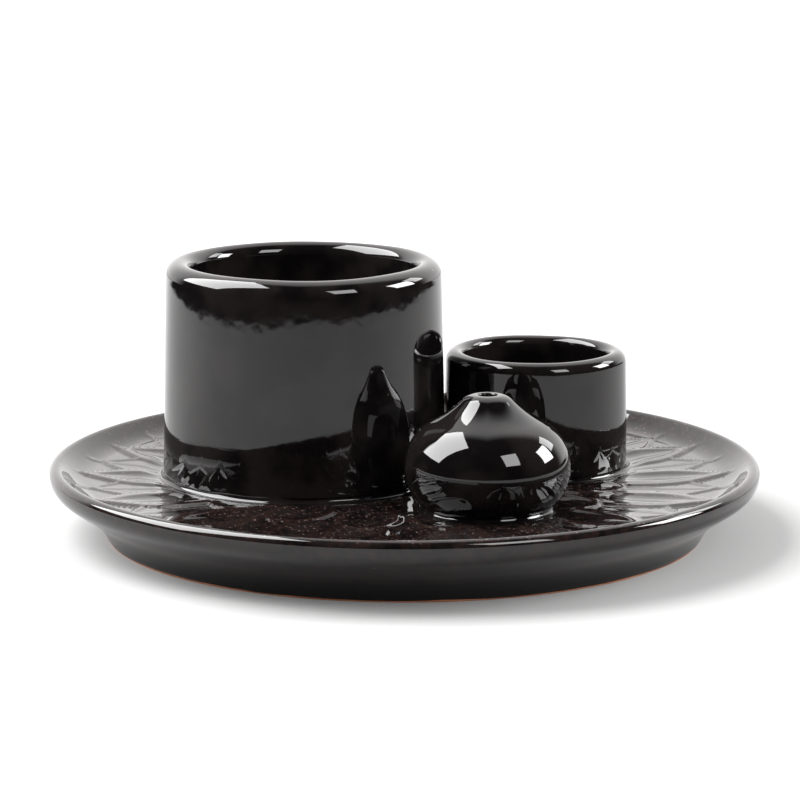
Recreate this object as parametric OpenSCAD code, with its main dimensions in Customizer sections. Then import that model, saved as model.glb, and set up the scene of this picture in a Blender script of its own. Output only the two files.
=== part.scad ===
// Glazed earthenware incense burner: a dish with a petal relief, carrying a large
// open cup, a small open cup and a drop-shaped holder for an incense stick.
// Millimetres. Origin at the centre of the foot, on the table. +Z up, front at -Y.

/* [Large cup] */
// Outside diameter at its base
large_cup_d = 80.4; // [60:0.2:100]
// Height from its base to the crest of its rim
large_cup_h = 60.8; // [40:0.2:90]
// Wall thickness at its base
large_cup_wall = 8.6; // [6:0.1:10]
// Thickness of its floor
large_cup_floor = 6; // [4:0.5:10]
// Rounding of the rim's outer edge
large_cup_rim_r = 4.2; // [1:0.1:5]
// Place of its axis from the plate's axis, to the right
large_cup_x = -28.8; // [-36:0.2:-20]
// Place of its axis from the plate's axis, to the back
large_cup_y = 11; // [0:0.5:20]

/* [Small cup] */
// Outside diameter at its base
small_cup_d = 53; // [40:0.5:70]
// Height from its base to the crest of its rim
small_cup_h = 33.4; // [20:0.2:60]
// Wall thickness at its base
small_cup_wall = 5.9; // [4.5:0.1:8]
// Thickness of its floor
small_cup_floor = 5; // [3:0.5:8]
// Rounding of the rim's outer edge
small_cup_rim_r = 3; // [1:0.1:4]
// Direction from the large cup's axis to the small cup's, turned from +X
small_cup_angle = 9; // [0:1:30]

/* [Cup walls] */
// Inward lean of both cups' outer walls toward the rim, in degrees
cup_draft = 1.1; // [0:0.1:2]

/* [Stick holder] */
// Largest diameter of the drop
holder_d = 45.4; // [36:0.2:60]
// Height from its base to its tip
holder_h = 31; // [26:0.2:45]
// Height of its largest diameter above its base
holder_belly_h = 11; // [8:0.2:12]
// Radius of the belly's outline
holder_belly_r = 14.4; // [12:0.2:16]
// Radius of the tip's outline
holder_tip_r = 4.7; // [3:0.1:5]
// Radius of the hollow neck between belly and tip
holder_neck_r = 30; // [20:1:40]
// Diameter of the hole for the stick
stick_hole_d = 5; // [3:0.1:6]
// Depth of the hole for the stick
stick_hole_depth = 22; // [12:0.5:24]

/* [Arrangement] */
// Gap between the two cups' bases
cup_gap = 0.6; // [0.5:0.1:10]
// Gap between the large cup and the stick holder
large_holder_gap = 6; // [1:0.1:15]
// Gap between the small cup and the stick holder
small_holder_gap = 9.4; // [1:0.1:20]
// Floor left free between the outermost slip bead and the rim's slope
free_w = 19.2; // [6:0.05:30]

/* [Slip joints] */
// Thickness of the slip under each vessel
slip_t = 0.8; // [0.4:0.1:2]
// Width and height of the bead around each vessel's base
bead_w = 1.8; // [1:0.1:3]

/* [Plate] */
// Height of the rim's crest above the table
plate_h = 20; // [17:0.5:30]
// Height of the dish's flat middle above the table
plate_floor_h = 13.5; // [11:0.5:15]
// Width of the slowly rising floor between the flat middle and the rim's slope
side_w = 47; // [30:0.5:60]
// Width of the rim's inner slope, from the middle of the crest to the floor's edge
rim_slope_w = 6; // [4:0.5:12]
// Fall of the rim's inner slope from the crest to the floor's edge
rim_slope_fall = 4.5; // [3:0.1:5]
// Rounding of the crest
crest_r = 2; // [1:0.1:3]
// Radius of the bulge in the outer wall under the crest
wall_bulge_r = 6.2; // [4:0.2:9]

/* [Foot] */
// Height of the foot ring
foot_h = 5.5; // [3:0.5:8]
// Width of the face that it stands on
foot_w = 8; // [4:0.5:14]
// Set-in of the foot's outer edge from the plate's edge
foot_inset = 15.8; // [10:0.2:25]
// Outward lean of the foot's outer wall over its height
foot_lean = 2.4; // [0:0.1:4]

/* [Petal relief] */
// Petals in each ring
petals = 16; // [10:1:20]
// Height of the raised petal outlines
relief_h = 1.2; // [0.6:0.1:1.6]
// Width of the raised petal outlines
outline_w = 1.5; // [1:0.1:2]
// Depth to which the outlines run on into the plate's own clay
relief_root = 1; // [0.5:0.1:3]

/* [Hidden] */
$fn = 96;
glaze_black = "#191414";
bare_clay = "#b5613c";

large_cup_r = large_cup_d / 2;
small_cup_r = small_cup_d / 2;
holder_r = holder_d / 2;
seat_z = plate_floor_h + slip_t;

// Centres of the vessels: a triangle whose sides are set by the radii and the gaps.
large_small = large_cup_r + small_cup_r + cup_gap;
large_holder = large_cup_r + holder_r + large_holder_gap;
small_holder = small_cup_r + holder_r + small_holder_gap;
holder_turn = acos((large_small ^ 2 + large_holder ^ 2 - small_holder ^ 2)
                   / (2 * large_small * large_holder));
large_cup_at = [large_cup_x, large_cup_y];
small_cup_at = large_cup_at + polar(large_small, small_cup_angle);
holder_at = large_cup_at + polar(large_holder, small_cup_angle - holder_turn);

// The holder's outline: a belly circle and a tip circle, joined by a hollow neck.
belly_c = [holder_r - holder_belly_r, holder_belly_h];
tip_c = [stick_hole_d / 2 + 0.9, holder_h - holder_tip_r];
neck_c = meeting(belly_c, holder_belly_r + holder_neck_r, tip_c, holder_tip_r + holder_neck_r);
belly_start = atan2(-belly_c.y, sqrt(holder_belly_r ^ 2 - belly_c.y ^ 2));
belly_end = direction(belly_c, neck_c);
tip_start = direction(tip_c, neck_c);
holder_base_r = belly_c.x + sqrt(holder_belly_r ^ 2 - belly_c.y ^ 2);

// The plate's radii, from the vessels outward.
floor_r = free_w + bead_w + max(norm(large_cup_at) + large_cup_r,
          norm(small_cup_at) + small_cup_r, norm(holder_at) + holder_r);
flat_r = floor_r - side_w;
floor_edge = [floor_r, plate_h - rim_slope_fall];
crest_c = [floor_r + rim_slope_w, plate_h - crest_r];
crest_end = direction(floor_edge, crest_c) + 90 + asin(crest_r / norm(crest_c - floor_edge));
plate_r = crest_c.x + crest_r;
foot_r = plate_r - foot_inset;
wall_foot = [foot_r + foot_lean, foot_h];
bulge_c = [plate_r - wall_bulge_r, plate_h - crest_r];
bulge_start = direction(wall_foot, bulge_c) - 90
            - asin(wall_bulge_r / norm(bulge_c - wall_foot));

// Rings of petals, each [inner radius, outer radius, half width, share of a pitch turned].
outer_ring = [floor_r - 42, floor_r + 1, 8.2, 0];
inner_ring = [floor_r - 66, floor_r - 30, 7.6, 0.5];

function polar(r, a) = [r * cos(a), r * sin(a)];
function direction(from, to) = atan2(to.y - from.y, to.x - from.x);
// Points along an arc.
function arc(c, r, from, to, n) = [for (i = [0 : n]) c + polar(r, from + (to - from) * i / n)];
// The point at distance ra from a and rb from b, on the right of the way from a to b.
function meeting(a, ra, b, rb) =
    let (d = norm(b - a), x = (d ^ 2 + ra ^ 2 - rb ^ 2) / (2 * d), y = sqrt(ra ^ 2 - x ^ 2),
         u = (b - a) / d)
    a + x * u + y * [u.y, -u.x];
// The floor's rising part as a parabola, from the flat middle outward, lifted by a height.
function side_points(lift) = [for (t = [0 : 1 / 4 : 1])
    [flat_r + side_w * t, plate_floor_h + lift + (floor_edge.y - plate_floor_h) * t ^ 2]];
function reversed(p) = [for (i = [len(p) - 1 : -1 : 0]) p[i]];

// The plate: everything above the foot ring, without its relief and its seats.
module dish() {
    rotate_extrude() polygon(concat(
        [[0, foot_h], wall_foot],
        arc(bulge_c, wall_bulge_r, bulge_start, 0, 6),
        arc(crest_c, crest_r, 15, crest_end, 7),
        reversed(side_points(0)),
        [[0, plate_floor_h]]));
}

// A layer that follows the dish's upper surface, from inside its clay to the relief's height.
module relief_layer() {
    rotate_extrude() polygon(concat(
        side_points(-relief_root), [floor_edge + [2, relief_h / 2]],
        reversed(side_points(relief_h)),
        [[0, plate_floor_h + relief_h], [0, plate_floor_h - relief_root]]));
}

// A pointed petal along +X, grown by the given amount on each side.
module petal(ring, grow) {
    half_l = (ring[1] - ring[0]) / 2;
    r = (half_l ^ 2 + ring[2] ^ 2) / (2 * ring[2]);
    intersection_for (side = [-1, 1])
        translate([ring[0] + half_l, side * (r - ring[2])]) circle(r + grow);
}

module ring_of_petals(ring, grow) {
    for (i = [0 : petals - 1]) rotate((i + ring[3]) * 360 / petals) petal(ring, grow);
}

module petal_outlines(ring) {
    difference() {
        ring_of_petals(ring, 0);
        ring_of_petals(ring, -outline_w);
    }
}

module relief() {
    intersection() {
        relief_layer();
        linear_extrude(plate_h + relief_h) union() {
            petal_outlines(inner_ring);
            petal_outlines(outer_ring);
        }
    }
}

// The flat seat that a vessel and its bead are pressed into.
module seat(at, r) {
    translate([at.x, at.y, plate_floor_h]) cylinder(h = plate_h, r = r + bead_w);
}

module plate() {
    color(glaze_black) difference() {
        union() {
            dish();
            relief();
        }
        seat(large_cup_at, large_cup_r);
        seat(small_cup_at, small_cup_r);
        seat(holder_at, holder_base_r);
    }
}

module foot_ring() {
    color(bare_clay) rotate_extrude() polygon([
        [foot_r - foot_w, 0], [foot_r, 0], wall_foot, [foot_r - foot_w, foot_h]]);
}

// An open cup standing on z = 0: the outer wall leans in to a rounded rim, and the inner
// wall is upright, with a rounded corner at the floor.
module cup(r, h, wall, base_t, rim_r) {
    rim_wall = wall - (h - rim_r) * tan(cup_draft);
    outer_r = min(rim_r, rim_wall - 0.5);
    inner_r = rim_wall - outer_r;
    rim_at = r - wall + inner_r;
    corner_r = wall / 2;
    color(glaze_black) rotate_extrude() polygon(concat(
        [[0, 0], [r, 0]],
        arc([rim_at, h - outer_r], outer_r, cup_draft, 90, 8),
        arc([rim_at, h - inner_r], inner_r, 90, 180, 8),
        arc([r - wall - corner_r, base_t + corner_r], corner_r, 0, -90, 5),
        [[0, base_t]]));
}

// Slip between a vessel and the dish floor, with a hollow bead around the vessel's base.
module slip(r) {
    bead_top = slip_t + bead_w;
    rotate_extrude() polygon(concat(
        [[0, 0], [r + bead_w, 0]],
        arc([r + bead_w, bead_top], bead_w, 252, 180, 5),
        [[r, slip_t], [0, slip_t]]));
}

module large_cup() {
    translate([large_cup_at.x, large_cup_at.y, seat_z])
        cup(large_cup_r, large_cup_h, large_cup_wall, large_cup_floor, large_cup_rim_r);
}

// The two cups stand so close that their beads run together, so each makes room for the other.
module large_cup_slip() {
    color(glaze_black) difference() {
        translate([large_cup_at.x, large_cup_at.y, plate_floor_h]) slip(large_cup_r);
        translate([small_cup_at.x, small_cup_at.y, seat_z]) cylinder(h = small_cup_h, r = small_cup_r);
    }
}

module small_cup() {
    translate([small_cup_at.x, small_cup_at.y, seat_z])
        cup(small_cup_r, small_cup_h, small_cup_wall, small_cup_floor, small_cup_rim_r);
}

module small_cup_slip() {
    color(glaze_black) difference() {
        translate([small_cup_at.x, small_cup_at.y, plate_floor_h]) slip(small_cup_r);
        seat(large_cup_at, large_cup_r);
    }
}

module stick_holder() {
    color(glaze_black) translate([holder_at.x, holder_at.y, seat_z]) difference() {
        rotate_extrude() polygon(concat(
            [[0, 0]],
            arc(belly_c, holder_belly_r, belly_start, belly_end, 14),
            arc(neck_c, holder_neck_r, belly_end + 180, tip_start + 180, 6),
            arc(tip_c, holder_tip_r, tip_start, 90, 5),
            [[0, holder_h]]));
        translate([0, 0, holder_h - stick_hole_depth]) cylinder(h = stick_hole_depth + 1, d = stick_hole_d);
    }
}

// The holder's belly widens above its base, so its bead follows the belly's outline.
module stick_holder_slip() {
    color(glaze_black) translate([holder_at.x, holder_at.y, plate_floor_h]) difference() {
        rotate_extrude() polygon(concat(
            [[0, 0], [holder_base_r + bead_w, 0]],
            arc([holder_base_r + 1.8 * bead_w, slip_t + bead_w], 1.6 * bead_w, 240, 180, 5),
            [[0, slip_t + bead_w]]));
        translate([0, 0, slip_t]) rotate_extrude() polygon(concat(
            [[0, 0]], arc(belly_c, holder_belly_r, belly_start, belly_end, 14), [[0, belly_c.y]]));
    }
}

plate();
foot_ring();
large_cup();
large_cup_slip();
small_cup();
small_cup_slip();
stick_holder();
stick_holder_slip();
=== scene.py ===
import math

import bpy
import numpy as np
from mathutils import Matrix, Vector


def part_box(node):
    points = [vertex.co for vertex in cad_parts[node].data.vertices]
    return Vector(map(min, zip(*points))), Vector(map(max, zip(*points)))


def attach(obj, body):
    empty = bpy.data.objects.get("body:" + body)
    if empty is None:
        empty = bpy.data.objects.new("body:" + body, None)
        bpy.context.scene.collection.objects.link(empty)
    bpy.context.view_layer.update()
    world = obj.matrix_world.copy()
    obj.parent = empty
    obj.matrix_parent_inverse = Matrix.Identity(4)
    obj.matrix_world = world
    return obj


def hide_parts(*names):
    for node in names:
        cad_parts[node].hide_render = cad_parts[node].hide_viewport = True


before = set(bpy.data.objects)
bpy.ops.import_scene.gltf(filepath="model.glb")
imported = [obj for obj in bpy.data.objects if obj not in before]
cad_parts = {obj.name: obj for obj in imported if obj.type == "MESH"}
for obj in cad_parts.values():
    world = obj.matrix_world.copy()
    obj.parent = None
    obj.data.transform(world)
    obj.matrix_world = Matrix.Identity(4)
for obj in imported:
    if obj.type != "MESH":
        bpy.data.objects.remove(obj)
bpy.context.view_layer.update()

# Camera: a long lens a little under a metre in front of the dish, looking down enough
# to see into the mouths of the cups. It stands level from side to side.
MM = 0.001
CAMERA_PLACE = (-1.3 * MM, -895 * MM, 213.3 * MM)
LOOKS_DOWN = 11.15

camera_data = bpy.data.cameras.new("camera")
camera_data.lens = 145.6
camera_data.sensor_width = 36
camera_data.clip_end = 20
camera = bpy.data.objects.new("camera", camera_data)
bpy.context.collection.objects.link(camera)
camera.location = CAMERA_PLACE
camera.rotation_euler = (math.radians(90 - LOOKS_DOWN), 0, 0)
bpy.context.scene.camera = camera
bpy.context.scene.view_settings.view_transform = "Standard"


# Stage: white paper on a table, a white wall behind the dish and a dark room in front of
# it, with a window and three lamps. A black glaze shows little but what it mirrors.
class Wire:
    """An output of a material's node. Arithmetic on it adds the material's Math nodes."""

    def __init__(self, recipe, socket):
        self.recipe = recipe
        self.socket = socket

    def math(self, operation, *values):
        sockets = dict(enumerate(values))
        return self.recipe.node("ShaderNodeMath", {"operation": operation}, sockets)

    def __add__(self, other):
        return self.math("ADD", self, other)

    def __sub__(self, other):
        return self.math("SUBTRACT", self, other)

    def __mul__(self, other):
        return self.math("MULTIPLY", self, other)

    def __rsub__(self, other):
        return self.math("SUBTRACT", other, self)

    def __abs__(self):
        return self.math("ABSOLUTE", self)

    __radd__ = __add__
    __rmul__ = __mul__

    def above(self, start, end):
        """0 below start, 1 above end, and a smooth rise between."""
        settings = {"interpolation_type": "SMOOTHSTEP"}
        sockets = {"Value": self, "From Min": start, "From Max": end}
        return self.recipe.node("ShaderNodeMapRange", settings, sockets)


class Recipe:
    """The node tree of a material or of the world, from nothing."""

    def __init__(self, owner):
        self.owner = owner
        owner.use_nodes = True
        self.tree = owner.node_tree
        self.tree.nodes.clear()

    def node(self, kind, settings=None, sockets=None, output=0):
        """Adds a node, sets its settings first, then its sockets, each a value or a Wire."""
        node = self.tree.nodes.new(kind)
        for name, value in (settings or {}).items():
            setattr(node, name, value)
        for name, value in (sockets or {}).items():
            if isinstance(value, Wire):
                self.tree.links.new(value.socket, node.inputs[name])
            else:
                node.inputs[name].default_value = value
        return Wire(self, node.outputs[output]) if node.outputs else None

    def mix(self, share, first, second):
        """A colour between two colours."""
        settings = {"data_type": "RGBA"}
        return self.node("ShaderNodeMix", settings, {0: share, 6: first, 7: second}, output=2)


def rgb(red, green, blue):
    return (red, green, blue, 1)


PAPER_SIZE = 8
PAPER_GREYS = (rgb(0.36, 0.36, 0.36), rgb(0.39, 0.39, 0.388))
LIT_CENTER = (-20 * MM, 0)
LIT_R = 495 * MM
LIT_EDGE = 6 * MM
GLOW_START = 150 * MM
GLOW_END = 700 * MM
NO_GLOW = rgb(0, 0, 0)
NEAR_GLOW = rgb(0.06, 0.06, 0.06)
FAR_GLOW = rgb(0.75, 0.75, 0.75)


def lay_paper():
    """Paper that is lit round the dish, and glows far from it so that it runs on into the wall.
    Mirrored in the glaze, it ends where the lamps' light does, apart from the part behind."""
    bpy.ops.object.select_all(action="DESELECT")
    bpy.ops.mesh.primitive_plane_add(size=PAPER_SIZE, location=(0, 0, 0))
    paper = bpy.context.object
    paper.name = "paper"
    recipe = Recipe(bpy.data.materials.new("white_paper"))
    place = recipe.node("ShaderNodeTexCoord", output=3)
    across = recipe.node("ShaderNodeSeparateXYZ", {}, {"Vector": place}, output=0) - LIT_CENTER[0]
    back = recipe.node("ShaderNodeSeparateXYZ", {}, {"Vector": place}, output=1) - LIT_CENTER[1]
    reach = recipe.node("ShaderNodeMath", {"operation": "SQRT"}, {0: across * across + back * back})
    grain = recipe.node("ShaderNodeTexNoise", {}, {"Vector": place, "Scale": 900.0, "Detail": 4.0})
    color = recipe.mix(grain, *PAPER_GREYS)
    seen = recipe.node("ShaderNodeLightPath", output=0)
    glow = recipe.mix(reach.above(LIT_R, 3 * LIT_R), NEAR_GLOW, FAR_GLOW)
    glow = recipe.mix(seen, NO_GLOW, glow)
    glow = recipe.mix(back.above(GLOW_START, GLOW_END), glow, FAR_GLOW)
    lit = recipe.node("ShaderNodeBsdfPrincipled", {}, {
        "Base Color": color, "Roughness": 0.9, "Specular IOR Level": 0.1,
        "Emission Color": glow, "Emission Strength": 1.0})
    unlit = recipe.node("ShaderNodeEmission", {}, {"Color": rgb(0.02, 0.018, 0.017), "Strength": 1.0})
    mirrored = recipe.node("ShaderNodeLightPath", output=3)
    behind = (back - abs(across) * 0.9).above(0.0, GLOW_START)
    beyond = reach.above(LIT_R - LIT_EDGE, LIT_R + LIT_EDGE) * (1 - behind)
    surface = recipe.node("ShaderNodeMixShader", {}, {0: mirrored * beyond, 1: lit, 2: unlit})
    recipe.node("ShaderNodeOutputMaterial", {}, {"Surface": surface})
    paper.data.materials.append(recipe.owner)


WALL_WHITE = rgb(1.65, 1.63, 1.62)
ROOM_DARK = rgb(0.008, 0.007, 0.007)
ROOM_BROWN = rgb(0.07, 0.055, 0.048)


def build_room():
    """White behind the dish, and a dark room in front and overhead with a paler column in it.
    The camera sees white all round, and the room lights the paper evenly."""
    recipe = Recipe(bpy.data.worlds.new("room"))
    bpy.context.scene.world = recipe.owner
    way = recipe.node("ShaderNodeTexCoord", output=0)
    across = recipe.node("ShaderNodeSeparateXYZ", {}, {"Vector": way}, output=0)
    back = recipe.node("ShaderNodeSeparateXYZ", {}, {"Vector": way}, output=1)
    up = recipe.node("ShaderNodeSeparateXYZ", {}, {"Vector": way}, output=2)
    wall = (back - abs(across) * 0.6).above(-0.15, 0.25)
    haze = recipe.node("ShaderNodeTexNoise", {}, {"Vector": way, "Scale": 2.2, "Detail": 2.0})
    column = (1 - abs(across - 0.25).above(0.0, 0.3)) * (1 - up.above(0.5, 0.9))
    dark = recipe.mix(haze * 0.5 + column * 0.5, ROOM_DARK, ROOM_BROWN)
    camera_ray = recipe.node("ShaderNodeLightPath", output=0)
    diffuse_ray = recipe.node("ShaderNodeLightPath", output=2)
    color = recipe.mix(wall, dark, WALL_WHITE)
    color = recipe.mix(camera_ray, color, rgb(1.0, 1.0, 1.0))
    color = recipe.mix(diffuse_ray, color, rgb(0.62, 0.62, 0.62))
    surface = recipe.node("ShaderNodeBackground", {}, {"Color": color, "Strength": 1.0})
    recipe.node("ShaderNodeOutputWorld", {}, {"Surface": surface})


LAMPS_AIM_H = 30 * MM


def hang_lamp(name, azimuth, elevation, distance, width, height, radiance):
    """A flat lamp that faces the dish. Azimuth 0 is straight in front, and grows to the right."""
    data = bpy.data.lights.new(name, "AREA")
    data.shape = "RECTANGLE"
    data.size = width
    data.size_y = height
    data.energy = radiance * math.pi * width * height
    lamp = bpy.data.objects.new(name, data)
    bpy.context.collection.objects.link(lamp)
    a, e = math.radians(azimuth), math.radians(elevation)
    lamp.location = (distance * math.sin(a) * math.cos(e), -distance * math.cos(a) * math.cos(e),
                     distance * math.sin(e) + LAMPS_AIM_H)
    lamp.rotation_euler = (math.radians(90 - elevation), 0, a)


lay_paper()
build_room()
hang_lamp("window", azimuth=-97, elevation=46, distance=1.10, width=0.98, height=1.04, radiance=13)
hang_lamp("small_lamp", azimuth=37, elevation=35, distance=1.20, width=0.42, height=0.50, radiance=8)
hang_lamp("side_lamp", azimuth=96, elevation=24, distance=1.20, width=0.42, height=0.46, radiance=22)
hang_lamp("side_lamp_fill", azimuth=118, elevation=30, distance=1.25, width=0.30, height=0.40,
          radiance=8)


# Foot ring: the turned ring of red earthenware that the dish stands on. The glaze stops
# just above the table, so the lowest strip, the standing face and the inside are bare clay.
def arc(center_r, center_z, radius, start, end, steps):
    """Points of a round stretch of an outline, angles in degrees from outward."""
    angles = np.radians(np.linspace(start, end, steps + 1))
    return [(center_r + radius * math.cos(a), center_z + radius * math.sin(a)) for a in angles]


def straight(start, end, steps):
    """Points of a straight stretch of an outline, without its two ends."""
    shares = np.linspace(0, 1, steps + 1)[1:-1]
    return [(start[0] + (end[0] - start[0]) * t, start[1] + (end[1] - start[1]) * t) for t in shares]


def throw(name, outline, center, steps):
    """Turns an outline of (radius, height) in millimetres about an upright axis, as on a wheel."""
    x, y = center
    bpy.ops.object.select_all(action="DESELECT")
    bpy.ops.mesh.primitive_plane_add(size=MM, location=(0, 0, 0))
    piece = bpy.context.object
    piece.name = name
    bpy.ops.object.mode_set(mode="EDIT")
    bpy.ops.mesh.select_all(action="SELECT")
    bpy.ops.mesh.merge(type="CENTER")
    radius, height = outline[0]
    bpy.ops.transform.translate(value=(x + radius * MM, y, height * MM))
    for (r0, z0), (r1, z1) in zip(outline, outline[1:]):
        step = ((r1 - r0) * MM, 0, (z1 - z0) * MM)
        bpy.ops.mesh.extrude_vertices_move(TRANSFORM_OT_translate={"value": step})
    bpy.ops.mesh.select_all(action="SELECT")
    bpy.ops.mesh.spin(steps=steps, angle=2 * math.pi, center=(x, y, 0), axis=(0, 0, 1))
    bpy.ops.mesh.select_all(action="SELECT")
    bpy.ops.mesh.remove_doubles(threshold=0.002 * MM)
    bpy.ops.mesh.normals_make_consistent(inside=False)
    bpy.ops.object.mode_set(mode="OBJECT")
    bpy.ops.object.shade_smooth_by_angle(angle=math.radians(40))
    return piece


def finish_piece(piece, node):
    """Fixes the piece to the one body, in place of its node."""
    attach(piece, "root")
    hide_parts(node)


FOOT_LEAN = 2.4
FOOT_W = 8
FOOT_EDGE_R = 0.5
FOOT_INNER_EDGE_R = 0.8
BARE_STRIP = 0.5
FILLET_STEPS = 14
foot_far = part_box("foot_ring")[1]
FOOT_TOP = foot_far[2] / MM
FOOT_R = foot_far[0] / MM - FOOT_LEAN


def fillet(corner, before, after, radius):
    """Arc of a radius in the corner between two straight stretches, and its two ends."""
    corner, before, after = np.array(corner), np.array(before), np.array(after)
    back = (before - corner) / np.hypot(*(before - corner))
    ahead = (after - corner) / np.hypot(*(after - corner))
    half = math.acos(np.dot(back, ahead)) / 2
    middle = (back + ahead) / np.hypot(*(back + ahead))
    center = corner + middle * radius / math.sin(half)
    start = np.degrees(math.atan2(*(corner + back * radius / math.tan(half) - center)[::-1]))
    end = np.degrees(math.atan2(*(corner + ahead * radius / math.tan(half) - center)[::-1]))
    turn = (end - start + 180) % 360 - 180
    return arc(*center, radius, start, start + turn, FILLET_STEPS)


def foot_clay():
    """Bare red earthenware below a wavy edge, black glaze above it."""
    recipe = Recipe(bpy.data.materials.new("foot_clay"))
    place = recipe.node("ShaderNodeTexCoord", output=3)
    blotch = recipe.node("ShaderNodeTexNoise", {}, {"Vector": place, "Scale": 55.0, "Detail": 5.0})
    grit = recipe.node("ShaderNodeTexNoise", {}, {"Vector": place, "Scale": 1400.0, "Detail": 3.0})
    wave = recipe.node("ShaderNodeTexNoise", {}, {"Vector": place, "Scale": 45.0, "Detail": 2.0})
    height = recipe.node("ShaderNodeSeparateXYZ", {}, {"Vector": place}, output=2)
    line = height - (wave - 0.5) * 0.9 * MM
    glazed = line.above((BARE_STRIP - 0.15) * MM, (BARE_STRIP + 0.15) * MM)
    clay = recipe.mix(blotch.above(0.3, 0.7), rgb(0.36, 0.13, 0.06), rgb(0.56, 0.23, 0.12))
    clay = recipe.mix(grit.above(0.55, 0.75) * 0.4, clay, rgb(0.68, 0.36, 0.22))
    color = recipe.mix(glazed, clay, rgb(0.004, 0.0033, 0.0033))
    bump = recipe.node("ShaderNodeBump", {}, {
        "Strength": 1.0, "Distance": 0.12 * MM, "Height": grit * (1 - glazed)})
    surface = recipe.node("ShaderNodeBsdfPrincipled", {}, {
        "Base Color": color, "Roughness": 0.85 - glazed * 0.8, "IOR": 1.5, "Normal": bump})
    recipe.node("ShaderNodeOutputMaterial", {}, {"Surface": surface})
    return recipe.owner


# The foot's outer wall and the dish's wall are one hollow curve, so both sections use it.
CREST_R = 2
BULGE_R = 6.2
WALL_FILLET_R = 17
dish_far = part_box("plate")[1]
DISH_R = dish_far[0] / MM
DISH_H = dish_far[2] / MM
foot_corner = (FOOT_R + FOOT_LEAN, FOOT_TOP)


def bulge_start():
    """Angle at which the straight wall from the foot meets the round bulge under the crest."""
    dr = DISH_R - BULGE_R - foot_corner[0]
    dz = DISH_H - CREST_R - foot_corner[1]
    return math.degrees(math.atan2(dz, dr) - math.asin(BULGE_R / math.hypot(dr, dz))) - 90


bulge = arc(DISH_R - BULGE_R, DISH_H - CREST_R, BULGE_R, bulge_start(), 0, 10)
wall = fillet(foot_corner, (FOOT_R, 0), bulge[0], WALL_FILLET_R)
seam = min(wall, key=lambda point: abs(point[1] - FOOT_TOP))
FOOT_TOP = seam[1]
inner_r = FOOT_R - FOOT_W
foot_outline = (
    [(inner_r, FOOT_TOP), (inner_r, FOOT_INNER_EDGE_R)]
    + arc(inner_r + FOOT_INNER_EDGE_R, FOOT_INNER_EDGE_R, FOOT_INNER_EDGE_R, 180, 270, 4)
    + arc(FOOT_R - FOOT_EDGE_R, FOOT_EDGE_R, FOOT_EDGE_R, 270, 340, 5)
    + [point for point in wall if point[1] < FOOT_TOP]
    + [seam, (inner_r, FOOT_TOP)]
)
foot_ring = throw("foot_ring_turned", foot_outline, center=(0, 0), steps=360)
foot_ring.data.materials.append(foot_clay())
finish_piece(foot_ring, "foot_ring")


# Dish: red earthenware pressed over a mould, so that the petals stand up from its floor,
# then dipped in a black gloss glaze that thins to brown on the petals' edges.
DISH_FLOOR = 13.5
SIDE_W = 47
SLOPE_W = 6
SLOPE_FALL = 4.5
SLOPE_FILLET_R = 10
FLOOR_R = DISH_R - CREST_R - SLOPE_W
EDGE_H = DISH_H - SLOPE_FALL
PETALS = 16
PITCH = 2 * math.pi / PETALS
DISH_STEPS = 34 * PETALS
RING_GAP = 0.64


def rise(start, end, value):
    """0 below start, 1 above end, and a smooth rise between, for arrays."""
    t = np.clip((value - start) / (end - start), 0, 1)
    return t * t * (3 - 2 * t)


def ridge(value, center, half_width):
    """1 on a rounded ridge's crest, and 0 away from it."""
    return np.exp(-(((value - center) / half_width) ** 2))


def petal_place(radius, angle, turn):
    """Distance along the nearest petal's axis and distance off it, in a ring turned by a share."""
    off = ((angle / PITCH - turn + 0.5) % 1 - 0.5) * PITCH
    return radius * np.cos(off), np.abs(radius * np.sin(off))


def pointed_half_width(along, base, belly, tip, width):
    """Half width of a petal whose sides swell to a belly and draw in to a long point."""
    toward_tip = np.clip((along - belly) / (tip - belly), 0, 1)
    toward_base = np.clip((belly - along) / (belly - base), 0, 2)
    return width * (1 - toward_tip) ** 1.2 * (1 + 0.9 * toward_tip) * (1 - 0.45 * toward_base ** 2)


def rounded_half_width(along, belly, tip, width):
    """Half width of a petal with a round end."""
    toward_tip = np.clip((along - belly) / (tip - belly), 0, 1)
    return width * np.sqrt(1 - toward_tip ** 2) * np.clip(along / belly, 0, 1)


def hollow(along, off, center, half_length, half_width):
    """1 in the middle of a long shallow dip, and 0 from its edge on."""
    reach = np.sqrt(((along - center) / half_length) ** 2 + (off / half_width) ** 2)
    return rise(0, 0.75, 1 - reach)


def lay_over(below, petal, share):
    """Height of a petal that covers what is below it by a share."""
    return below * (1 - share) + petal * share


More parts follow.
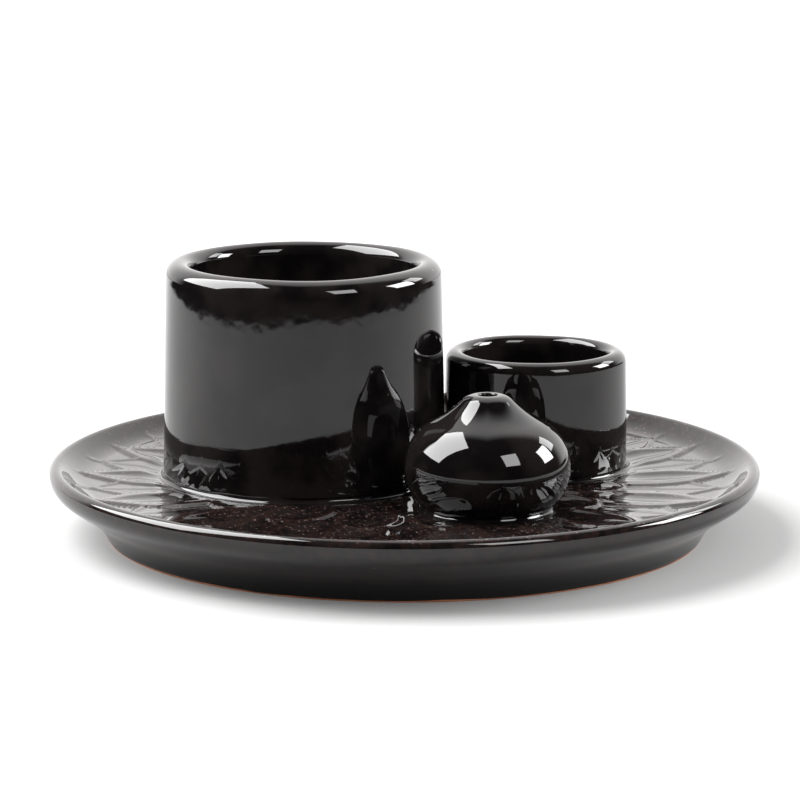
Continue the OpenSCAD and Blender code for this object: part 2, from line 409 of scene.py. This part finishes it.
def relief(radius, angle):
    """Height of the pressed petals above the plain dish, in millimetres."""
    height = np.zeros_like(radius)
    # Petals behind: only their points and middles show between the front ones.
    along, off = petal_place(radius, angle, turn=0.5)
    inside = pointed_half_width(along, base=50, belly=77, tip=FLOOR_R - 2.2, width=9.8) - off
    petal = 0.15 + 0.38 * ridge(inside, 1.0, 0.75)
    height = lay_over(height, petal, rise(-0.5, 0.7, inside))
    # Front petals: a raised border round a long spoon-shaped hollow.
    along, off = petal_place(radius, angle, turn=0)
    inside = pointed_half_width(along, base=50, belly=75, tip=FLOOR_R + 0.6, width=9.8) - off
    petal = (0.4 + 0.34 * ridge(inside, 0.9, 0.7) + 0.35 * ridge(inside, 3.2, 1.3)
             - 0.45 * hollow(along, off, center=73, half_length=14, half_width=6.8))
    height = lay_over(height, petal, rise(-0.5, 0.7, inside))
    # Inner ring: round-ended petals that lie over the feet of the outer ones.
    along, off = petal_place(radius, angle, turn=0.5)
    inside = rounded_half_width(along, belly=51, tip=63, width=9.4) - off
    petal = (0.45 + 0.45 * ridge(inside, 1.6, 1.2)
             - 0.4 * hollow(along, off, center=50, half_length=11, half_width=7))
    height = lay_over(height, petal, rise(-0.4, 0.6, inside))
    # Two smaller rings and a boss in the middle.
    for tip, belly, width, turn in ((45, 37, 6.8, 0), (29, 23, 4.3, 0.5)):
        along, off = petal_place(radius, angle, turn)
        inside = rounded_half_width(along, belly, tip, width) - off
        petal = (0.35 + 0.2 * ridge(inside, 1.5, 1.3)
                 - 0.15 * hollow(along, off, center=belly, half_length=7, half_width=width - 2))
        height = lay_over(height, petal, rise(-0.4, 0.5, inside))
    boss = 0.9 + 0.5 * ridge(radius, 9.5, 1.2)
    return height * rise(10, 11.5, radius) + boss * rise(-11.5, -10, -radius)


SEAT_SLOPE_W = 7
BEAD_W = 1.8


def vessel_of(node):
    """Centre in metres, radius, base height and top height in millimetres of an upright piece."""
    near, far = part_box(node)
    center = ((near[0] + far[0]) / 2, (near[1] + far[1]) / 2)
    return center, (far[0] - near[0]) / 2 / MM, near[2] / MM, far[2] / MM


vessels = {name: vessel_of(name) for name in ("large_cup", "small_cup", "stick_holder")}
holder_slip = vessel_of("stick_holder_slip")
seats = [(vessels["large_cup"][0], vessels["large_cup"][1]),
         (vessels["small_cup"][0], vessels["small_cup"][1]),
         (holder_slip[0], holder_slip[1] - BEAD_W)]


def plain_dish(radius):
    """Height of the dish's floor without petals, inside the rim's slope."""
    share = np.clip((radius - FLOOR_R + SIDE_W) / SIDE_W, 0, 1)
    return DISH_FLOOR + (EDGE_H - DISH_FLOOR) * share ** 2


def dish_height(x, y):
    """Height of the dish's upper surface in millimetres, petals and seats included."""
    radius = np.hypot(x, y)
    height = plain_dish(radius) + relief(radius, np.arctan2(y, x))
    for center, seat_r in seats:
        gap = np.hypot(x - center[0] / MM, y - center[1] / MM) - seat_r
        free = rise(-0.5, SEAT_SLOPE_W, gap)
        height = height * free + DISH_FLOOR * (1 - free)
    return height


def crest_end():
    """Angle at which the crest runs on into the rim's inner slope."""
    dr, dz = SLOPE_W, SLOPE_FALL - CREST_R
    return math.degrees(math.atan2(dz, dr) + math.asin(CREST_R / math.hypot(dr, dz))) + 90


GLAZE_THICK = rgb(0.0024, 0.0020, 0.0022)
GLAZE_CLOUDY = rgb(0.0078, 0.0063, 0.0060)
GLAZE_BROWN = rgb(0.022, 0.0105, 0.0085)
GLAZE_THIN = rgb(0.022, 0.011, 0.009)
PORE_CLAY = rgb(0.20, 0.17, 0.15)
DUST_GREY = rgb(0.13, 0.10, 0.09)


def black_glaze(name, brown=0.0, dusty=0.0):
    """Black gloss glaze over red clay: cloudy brown-black, with fine ripples and a few pinholes.
    Brown and dusty say how much of it breaks brown, and how many pale specks lie on its top."""
    recipe = Recipe(bpy.data.materials.new(name))
    place = recipe.node("ShaderNodeTexCoord", output=3)
    cloud = recipe.node("ShaderNodeTexNoise", {}, {"Vector": place, "Scale": 80.0, "Detail": 7.0})
    speck = recipe.node("ShaderNodeTexNoise", {}, {"Vector": place, "Scale": 520.0, "Detail": 3.0})
    ripple = recipe.node("ShaderNodeTexNoise", {}, {"Vector": place, "Scale": 210.0, "Detail": 1.5})
    pores = recipe.node("ShaderNodeTexVoronoi", {}, {"Vector": place, "Scale": 150.0})
    pick = recipe.node("ShaderNodeTexWhiteNoise", {}, {
        "Vector": recipe.node("ShaderNodeTexVoronoi", {}, {"Vector": place, "Scale": 150.0}, output=2)})
    pinhole = (1 - pores.above(0.03, 0.075)) * pick.above(0.90, 0.91)
    grains = recipe.node("ShaderNodeTexVoronoi", {}, {"Vector": place, "Scale": 800.0})
    facing = recipe.node("ShaderNodeTexCoord", output=1)
    upward = recipe.node("ShaderNodeSeparateXYZ", {}, {"Vector": facing}, output=2).above(0.6, 0.9)
    dust = (1 - grains.above(0.1, 0.3)) * speck.above(0.44, 0.54) * upward * dusty
    thin = recipe.node("ShaderNodeAttribute", {"attribute_name": "thin_glaze"}, {}, output=2)
    color = recipe.mix(cloud.above(0.4, 0.62), GLAZE_THICK, GLAZE_CLOUDY)
    color = recipe.mix(speck.above(0.4, 0.7) * brown, color, GLAZE_BROWN)
    color = recipe.mix(thin * 0.45, color, GLAZE_THIN)
    color = recipe.mix(pinhole * 0.6, color, PORE_CLAY)
    color = recipe.mix(dust, color, DUST_GREY)
    bump = recipe.node("ShaderNodeBump", {}, {
        "Strength": 1.0, "Distance": 0.018 * MM, "Height": ripple - pinhole * 4})
    surface = recipe.node("ShaderNodeBsdfPrincipled", {}, {
        "Base Color": color, "Roughness": 0.028 + cloud * 0.024 + pinhole * 0.3,
        "IOR": 1.5, "Normal": bump})
    recipe.node("ShaderNodeOutputMaterial", {}, {"Surface": surface})
    return recipe.owner


def mark_thin_glaze(piece, shares):
    """Stores for each vertex how much the glaze has drawn back from it, 0 to 1."""
    layer = piece.data.attributes.new("thin_glaze", "FLOAT", "POINT")
    layer.data.foreach_set("value", np.asarray(shares, dtype=np.float32))


def vertices_of(piece):
    """The piece's vertices as an array in millimetres."""
    places = np.empty(len(piece.data.vertices) * 3)
    piece.data.vertices.foreach_get("co", places)
    return places.reshape(-1, 3) / MM


def move_vertices(piece, places):
    piece.data.vertices.foreach_set("co", (places * MM).ravel())
    piece.data.update()


crest = arc(DISH_R - CREST_R, DISH_H - CREST_R, CREST_R, 15, crest_end(), 9)
floor_slope = 2 * (EDGE_H - DISH_FLOOR) / SIDE_W
inward = (FLOOR_R - 10, EDGE_H - 10 * floor_slope)
slope_foot = fillet((FLOOR_R, EDGE_H), crest[-1], inward, SLOPE_FILLET_R)
underside = FOOT_TOP + 0.01
dish_outline = (
    [(0, underside)] + straight((0, underside), seam, 4)
    + [(seam[0], underside)]
    + [point for point in wall if point[1] > FOOT_TOP + 0.1]
    + straight(wall[-1], bulge[0], 6)
    + bulge
    + crest
    + straight(crest[-1], slope_foot[0], 5)
    + slope_foot
    + [(r, plain_dish(r)) for r in np.arange(slope_foot[-1][0] - RING_GAP, 18, -RING_GAP)]
    + [(r, plain_dish(r)) for r in np.arange(17, 0, -1.4)]
    + [(0, DISH_FLOOR)]
)
dish = throw("dish_pressed", dish_outline, center=(0, 0), steps=DISH_STEPS)
places = vertices_of(dish)
radius = np.hypot(places[:, 0], places[:, 1])
upper = (places[:, 2] > DISH_FLOOR - 0.5) & (radius < FLOOR_R + 3)
raised = np.where(upper, dish_height(places[:, 0], places[:, 1]) - plain_dish(radius), 0)
raised *= rise(-FLOOR_R - 2.5, -FLOOR_R + 1, -radius)
places[:, 2] += raised
move_vertices(dish, places)
mark_thin_glaze(dish, rise(0.4, 1.0, raised))
dish.data.materials.append(black_glaze("dish_glaze", brown=0.5, dusty=0.7))
finish_piece(dish, "plate")


# Slip joints: liquid clay under each vessel, drawn up round its base and glazed over, so
# that a small hollow bead runs on from the dish into the wall.
VISIBLE_BEAD_W = 1.4
SLIP_IN = 4


def lay_slip(name, node, center, vessel_r):
    """A ring that starts under the vessel's wall. Its bead swells a little here and there."""
    toe_r = vessel_r + VISIBLE_BEAD_W
    bead = toe_r - vessel_r
    outline = ([(vessel_r - SLIP_IN, -0.6), (toe_r, -0.45)]
               + arc(toe_r + 0.15, bead + 0.1, bead + 0.05, 262, 184, 8)
               + [(vessel_r - 0.6, bead + 0.3), (vessel_r - SLIP_IN, bead + 0.3),
                  (vessel_r - SLIP_IN, -0.6)])
    slip = throw(name, outline, center, steps=256)
    places = vertices_of(slip)
    turn = np.arctan2(places[:, 1] - center[1] / MM, places[:, 0] - center[0] / MM)
    swell = (1 + 0.22 * np.sin(3 * turn + vessel_r) + 0.16 * np.sin(7 * turn + 2)
             + 0.1 * np.sin(17 * turn))
    surface = dish_height(places[:, 0], places[:, 1])
    places[:, 2] = surface + places[:, 2] * np.where(places[:, 2] > 0, swell, 1)
    move_vertices(slip, places)
    mark_thin_glaze(slip, np.zeros(len(places)))
    slip.data.materials.append(glaze)
    finish_piece(slip, node)


glaze = black_glaze("vessel_glaze")
center, cup_r, base, top = vessels["large_cup"]
lay_slip("large_cup_bead", "large_cup_slip", center, cup_r)


# Large cup: thrown in red earthenware with a thick rounded rim, and dipped in the black
# glaze, which lies in soft waves on its wall.
CUP_DRAFT = math.radians(1.1)
CUP_FOOT_EDGE = 0.8


def cup_outline(foot_r, base, top, wall, floor_t, rim_r):
    """The outer wall leans in a little to a rounded rim, and the inner wall is upright."""
    inner_r = foot_r - wall
    rim_wall = wall - (top - base - rim_r) * math.tan(CUP_DRAFT)
    inner_rim_r = rim_wall - rim_r
    rim_at = inner_r + inner_rim_r
    corner = wall / 2
    rim_start = (rim_at + rim_r * math.cos(CUP_DRAFT), top - rim_r)
    return (
        [(0, base + 0.01), (foot_r * 0.5, base + 0.01)]
        + [(foot_r - CUP_FOOT_EDGE, base + 0.01), (foot_r, base + CUP_FOOT_EDGE)]
        + straight((foot_r, base + CUP_FOOT_EDGE), rim_start, int((top - base) / 1.2))
        + arc(rim_at, top - rim_r, rim_r, math.degrees(CUP_DRAFT), 90, 12)
        + arc(rim_at, top - inner_rim_r, inner_rim_r, 90, 180, 10)[1:]
        + straight((inner_r, top - inner_rim_r), (inner_r, base + floor_t + corner),
                   int((top - base) / 1.6))
        + arc(inner_r - corner, base + floor_t + corner, corner, 0, -90, 8)
        + [(inner_r * 0.4, base + floor_t - 0.2), (0, base + floor_t - 0.3)]
    )


def throw_cup(name, node, wall, floor_t, rim_r, wave, rim_tilt, seed):
    """A cup whose wall is out of true by about wave, and whose rim falls towards the front."""
    center, cup_r, base, top = vessels[node]
    cup = throw(name, cup_outline(cup_r, base, top, wall, floor_t, rim_r), center, steps=288)
    places = vertices_of(cup)
    x = places[:, 0] - center[0] / MM
    y = places[:, 1] - center[1] / MM
    turn = np.arctan2(y, x)
    tall = (places[:, 2] - base) / (top - base)
    ripple = (np.sin(3 * turn + seed) + 0.6 * np.sin(5 * turn + 0.8 * tall + seed)
              + 0.35 * np.sin(11 * turn - tall + 2 * seed) + 0.4 * np.sin(1.6 * tall + 2 * turn + seed))
    grow = 1 + wave * ripple * rise(0.02, 0.3, tall) / np.maximum(np.hypot(x, y), 5)
    crest = rise(0.8, 1.0, tall)
    places[:, 0] = center[0] / MM + x * grow
    places[:, 1] = center[1] / MM + y * grow
    places[:, 2] += crest * (wave * (np.sin(2 * turn + seed) + 0.5 * np.sin(5 * turn - seed))
                             + rim_tilt * y / cup_r)
    move_vertices(cup, places)
    mark_thin_glaze(cup, 0.35 * rise(0.985, 1.0, tall))
    cup.data.materials.append(glaze)
    finish_piece(cup, node)


throw_cup("large_cup_thrown", "large_cup", wall=8.6, floor_t=6, rim_r=4.2,
          wave=0.14, rim_tilt=0.4, seed=1.0)


# Small cup: thrown and glazed as the large one is, at a tealight's size, and luted to the
# dish close beside it.
center, cup_r, base, top = vessels["small_cup"]
lay_slip("small_cup_bead", "small_cup_slip", center, cup_r)
throw_cup("small_cup_thrown", "small_cup", wall=5.9, floor_t=5, rim_r=3.0,
          wave=0.10, rim_tilt=0.0, seed=2.3)


# Stick holder: a drop of red earthenware with a round belly, a hollow neck and a hole down
# from its tip for the incense stick.
BELLY_R = 14.4
BELLY_H = 11
TIP_R = 4.7
NECK_R = 30
HOLE_R = 2.5
HOLE_DEPTH = 22
HOLE_EDGE = 0.5
TIP_FLAT_W = 0.9


def drop_outline(belly_max, base, top):
    """Belly circle and tip circle, joined by a hollow neck circle that touches both."""
    belly = np.array([belly_max - BELLY_R, BELLY_H])
    tip = np.array([HOLE_R + TIP_FLAT_W, top - base - TIP_R])
    across = tip - belly
    distance = np.hypot(*across)
    reach_belly, reach_tip = BELLY_R + NECK_R, TIP_R + NECK_R
    along = (distance ** 2 + reach_belly ** 2 - reach_tip ** 2) / (2 * distance)
    aside = math.sqrt(reach_belly ** 2 - along ** 2)
    unit = across / distance
    neck = belly + along * unit + aside * np.array([unit[1], -unit[0]])
    start = -math.degrees(math.asin(BELLY_H / BELLY_R))
    belly_end = math.degrees(math.atan2(*(neck - belly)[::-1]))
    tip_start = math.degrees(math.atan2(*(neck - tip)[::-1]))
    points = (
        [(0, 0.01), (6, 0.01)]
        + arc(*belly, BELLY_R, start, belly_end, 40)
        + arc(*neck, NECK_R, belly_end + 180, tip_start + 180, 18)[1:]
        + arc(*tip, TIP_R, tip_start, 90, 12)[1:]
        + arc(HOLE_R + HOLE_EDGE, top - base - HOLE_EDGE, HOLE_EDGE, 90, 180, 5)
        + straight((HOLE_R, top - base - HOLE_EDGE), (HOLE_R, top - base - HOLE_DEPTH), 12)
        + [(HOLE_R, top - base - HOLE_DEPTH), (0, top - base - HOLE_DEPTH)]
    )
    return [(r, z + base) for r, z in points]


center, slip_r = holder_slip[:2]
lay_slip("stick_holder_bead", "stick_holder_slip", center, slip_r - BEAD_W)
center, belly_max, base, top = vessels["stick_holder"]
drop = throw("stick_holder_turned", drop_outline(belly_max, base, top), center, steps=256)
places = vertices_of(drop)
mark_thin_glaze(drop, 0.4 * rise(top - 0.8, top, places[:, 2]))
drop.data.materials.append(glaze)
finish_piece(drop, "stick_holder")
